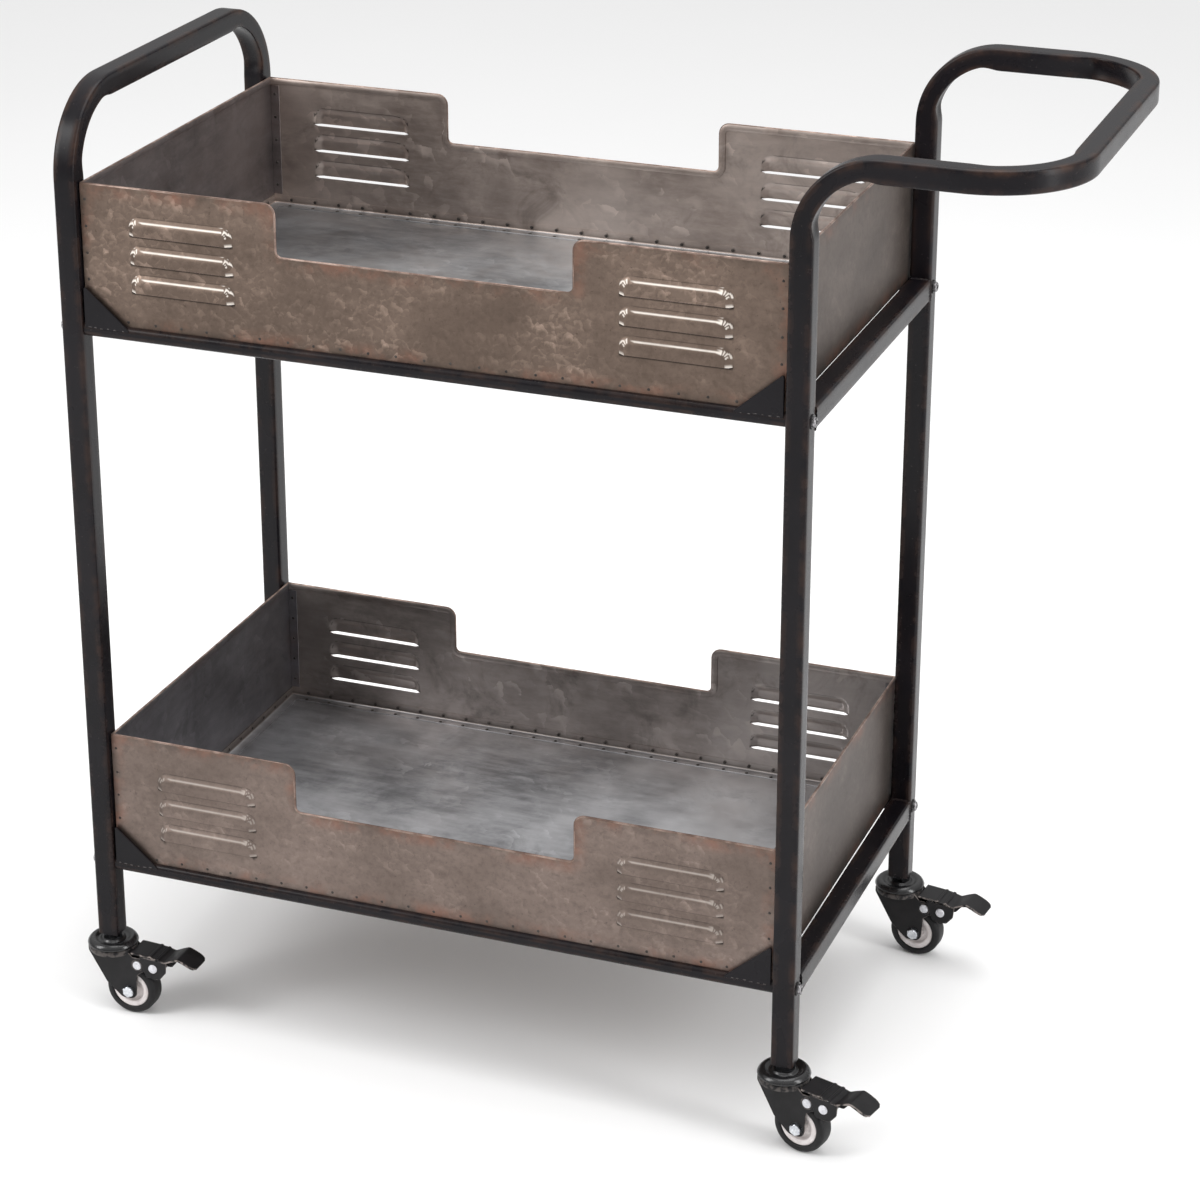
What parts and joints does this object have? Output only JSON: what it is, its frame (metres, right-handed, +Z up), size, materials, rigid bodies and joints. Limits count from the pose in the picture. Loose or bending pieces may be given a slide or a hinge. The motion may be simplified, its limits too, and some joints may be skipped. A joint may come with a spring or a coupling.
{
  "type": "plant trolley",
  "caption": "Push trolley with a square-tube frame, bent push handle, notched louvred sheet-metal trays on two levels and locking swivel casters.",
  "frame": {"origin": "on the floor, under the middle of the trolley's overall box", "axes": "+X from the arch end to the push-handle end, +Y from the front to the back, +Z up"},
  "size_m": [0.8938, 0.4229, 0.899],
  "materials": {
    "frame_paint": "satin charcoal with worn brown edges",
    "galvanised_sheet": "antiqued galvanised sheet with a faint spangle",
    "caster_black": "semi-gloss black",
    "zinc_steel": "bright zinc plate",
    "black_fastener": "blackened steel",
    "plug_black": "matt",
    "tyre_black": "smooth moulded",
    "hub_white": "moulded off-white"
  },
  "bodies": {
    "frame": {"bearing_caps": "caster_black", "bolt_washers": "black_fastener", "caster_lock_nuts": "zinc_steel", "caster_stems": "zinc_steel", "left_arch_tube": "frame_paint", "leg_end_plugs": "plug_black", "lower_back_rail": "frame_paint", "lower_corner_brackets": "frame_paint", "lower_front_rail": "frame_paint", "lower_left_side_rail": "frame_paint", "lower_right_side_rail": "frame_paint", "rail_bolts": "black_fastener", "rail_end_inserts": "plug_black", "right_handle_tube": "frame_paint", "swivel_ball_races": "zinc_steel", "upper_back_rail": "frame_paint", "upper_corner_brackets": "frame_paint", "upper_front_rail": "frame_paint", "upper_left_side_rail": "frame_paint", "upper_right_side_rail": "frame_paint"},
    "upper_tray": {"upper_tray_back_wall": "galvanised_sheet", "upper_tray_floor": "galvanised_sheet", "upper_tray_front_wall": "galvanised_sheet", "upper_tray_left_end_wall": "galvanised_sheet", "upper_tray_right_end_wall": "galvanised_sheet"},
    "lower_tray": {"lower_tray_back_wall": "galvanised_sheet", "lower_tray_floor": "galvanised_sheet", "lower_tray_front_wall": "galvanised_sheet", "lower_tray_left_end_wall": "galvanised_sheet", "lower_tray_right_end_wall": "galvanised_sheet"},
    "front_left_fork": {"front_left_axle_bolt": "zinc_steel", "front_left_axle_nut": "zinc_steel", "front_left_fork": "caster_black", "front_left_fork_rivets": "zinc_steel"},
    "front_left_wheel": {"front_left_tyre": "tyre_black", "front_left_wheel_hub": "hub_white"},
    "front_left_pedal": {"front_left_brake_pedal": "caster_black"},
    "front_right_fork": {"front_right_axle_bolt": "zinc_steel", "front_right_axle_nut": "zinc_steel", "front_right_fork": "caster_black", "front_right_fork_rivets": "zinc_steel"},
    "front_right_wheel": {"front_right_tyre": "tyre_black", "front_right_wheel_hub": "hub_white"},
    "front_right_pedal": {"front_right_brake_pedal": "caster_black"},
    "back_left_fork": {"back_left_axle_bolt": "zinc_steel", "back_left_axle_nut": "zinc_steel", "back_left_fork": "caster_black", "back_left_fork_rivets": "zinc_steel"},
    "back_left_wheel": {"back_left_tyre": "tyre_black", "back_left_wheel_hub": "hub_white"},
    "back_left_pedal": {"back_left_brake_pedal": "caster_black"},
    "back_right_fork": {"back_right_axle_bolt": "zinc_steel", "back_right_axle_nut": "zinc_steel", "back_right_fork": "caster_black", "back_right_fork_rivets": "zinc_steel"},
    "back_right_wheel": {"back_right_tyre": "tyre_black", "back_right_wheel_hub": "hub_white"},
    "back_right_pedal": {"back_right_brake_pedal": "caster_black"}
  },
  "joints": [
    {"name": "upper_tray_lift", "type": "slide", "parent": "frame", "child": "upper_tray", "axis": [0, 0, 1], "range_m": [0, 0.2]},
    {"name": "lower_tray_lift", "type": "slide", "parent": "frame", "child": "lower_tray", "axis": [0, 0, 1], "range_m": [0, 0.2]},
    {"name": "front_left_swivel", "type": "hinge", "parent": "frame", "child": "front_left_fork", "pos_m": [-0.42312, -0.17827, 0.068], "axis": [0, 0, 1], "continuous": true},
    {"name": "front_left_wheel_spin", "type": "hinge", "parent": "front_left_fork", "child": "front_left_wheel", "pos_m": [-0.40313, -0.17827, 0.025], "axis": [0, 1, 0], "continuous": true},
    {"name": "front_left_brake", "type": "hinge", "parent": "front_left_fork", "child": "front_left_pedal", "pos_m": [-0.37612, -0.17827, 0.0545], "axis": [0, 1, 0], "range_deg": [0, 14]},
    {"name": "front_right_swivel", "type": "hinge", "parent": "frame", "child": "front_right_fork", "pos_m": [0.23187, -0.17827, 0.068], "axis": [0, 0, 1], "continuous": true},
    {"name": "front_right_wheel_spin", "type": "hinge", "parent": "front_right_fork", "child": "front_right_wheel", "pos_m": [0.25136, -0.18277, 0.025], "axis": [0.225, 0.9744, 0], "continuous": true},
    {"name": "front_right_brake", "type": "hinge", "parent": "front_right_fork", "child": "front_right_pedal", "pos_m": [0.27767, -0.18884, 0.0545], "axis": [0.225, 0.9744, 0], "range_deg": [0, 14]},
    {"name": "back_left_swivel", "type": "hinge", "parent": "frame", "child": "back_left_fork", "pos_m": [-0.42312, 0.18773, 0.068], "axis": [0, 0, 1], "continuous": true},
    {"name": "back_left_wheel_spin", "type": "hinge", "parent": "back_left_fork", "child": "back_left_wheel", "pos_m": [-0.40324, 0.18564, 0.025], "axis": [0.1045, 0.9945, 0], "continuous": true},
    {"name": "back_left_brake", "type": "hinge", "parent": "back_left_fork", "child": "back_left_pedal", "pos_m": [-0.37638, 0.18282, 0.0545], "axis": [0.1045, 0.9945, 0], "range_deg": [0, 14]},
    {"name": "back_right_swivel", "type": "hinge", "parent": "frame", "child": "back_right_fork", "pos_m": [0.23187, 0.18773, 0.068], "axis": [0, 0, 1], "continuous": true},
    {"name": "back_right_wheel_spin", "type": "hinge", "parent": "back_right_fork", "child": "back_right_wheel", "pos_m": [0.25177, 0.18564, 0.025], "axis": [0.1045, 0.9945, 0], "continuous": true},
    {"name": "back_right_brake", "type": "hinge", "parent": "back_right_fork", "child": "back_right_pedal", "pos_m": [0.27862, 0.18282, 0.0545], "axis": [0.1045, 0.9945, 0], "range_deg": [0, 14]}
  ]
}
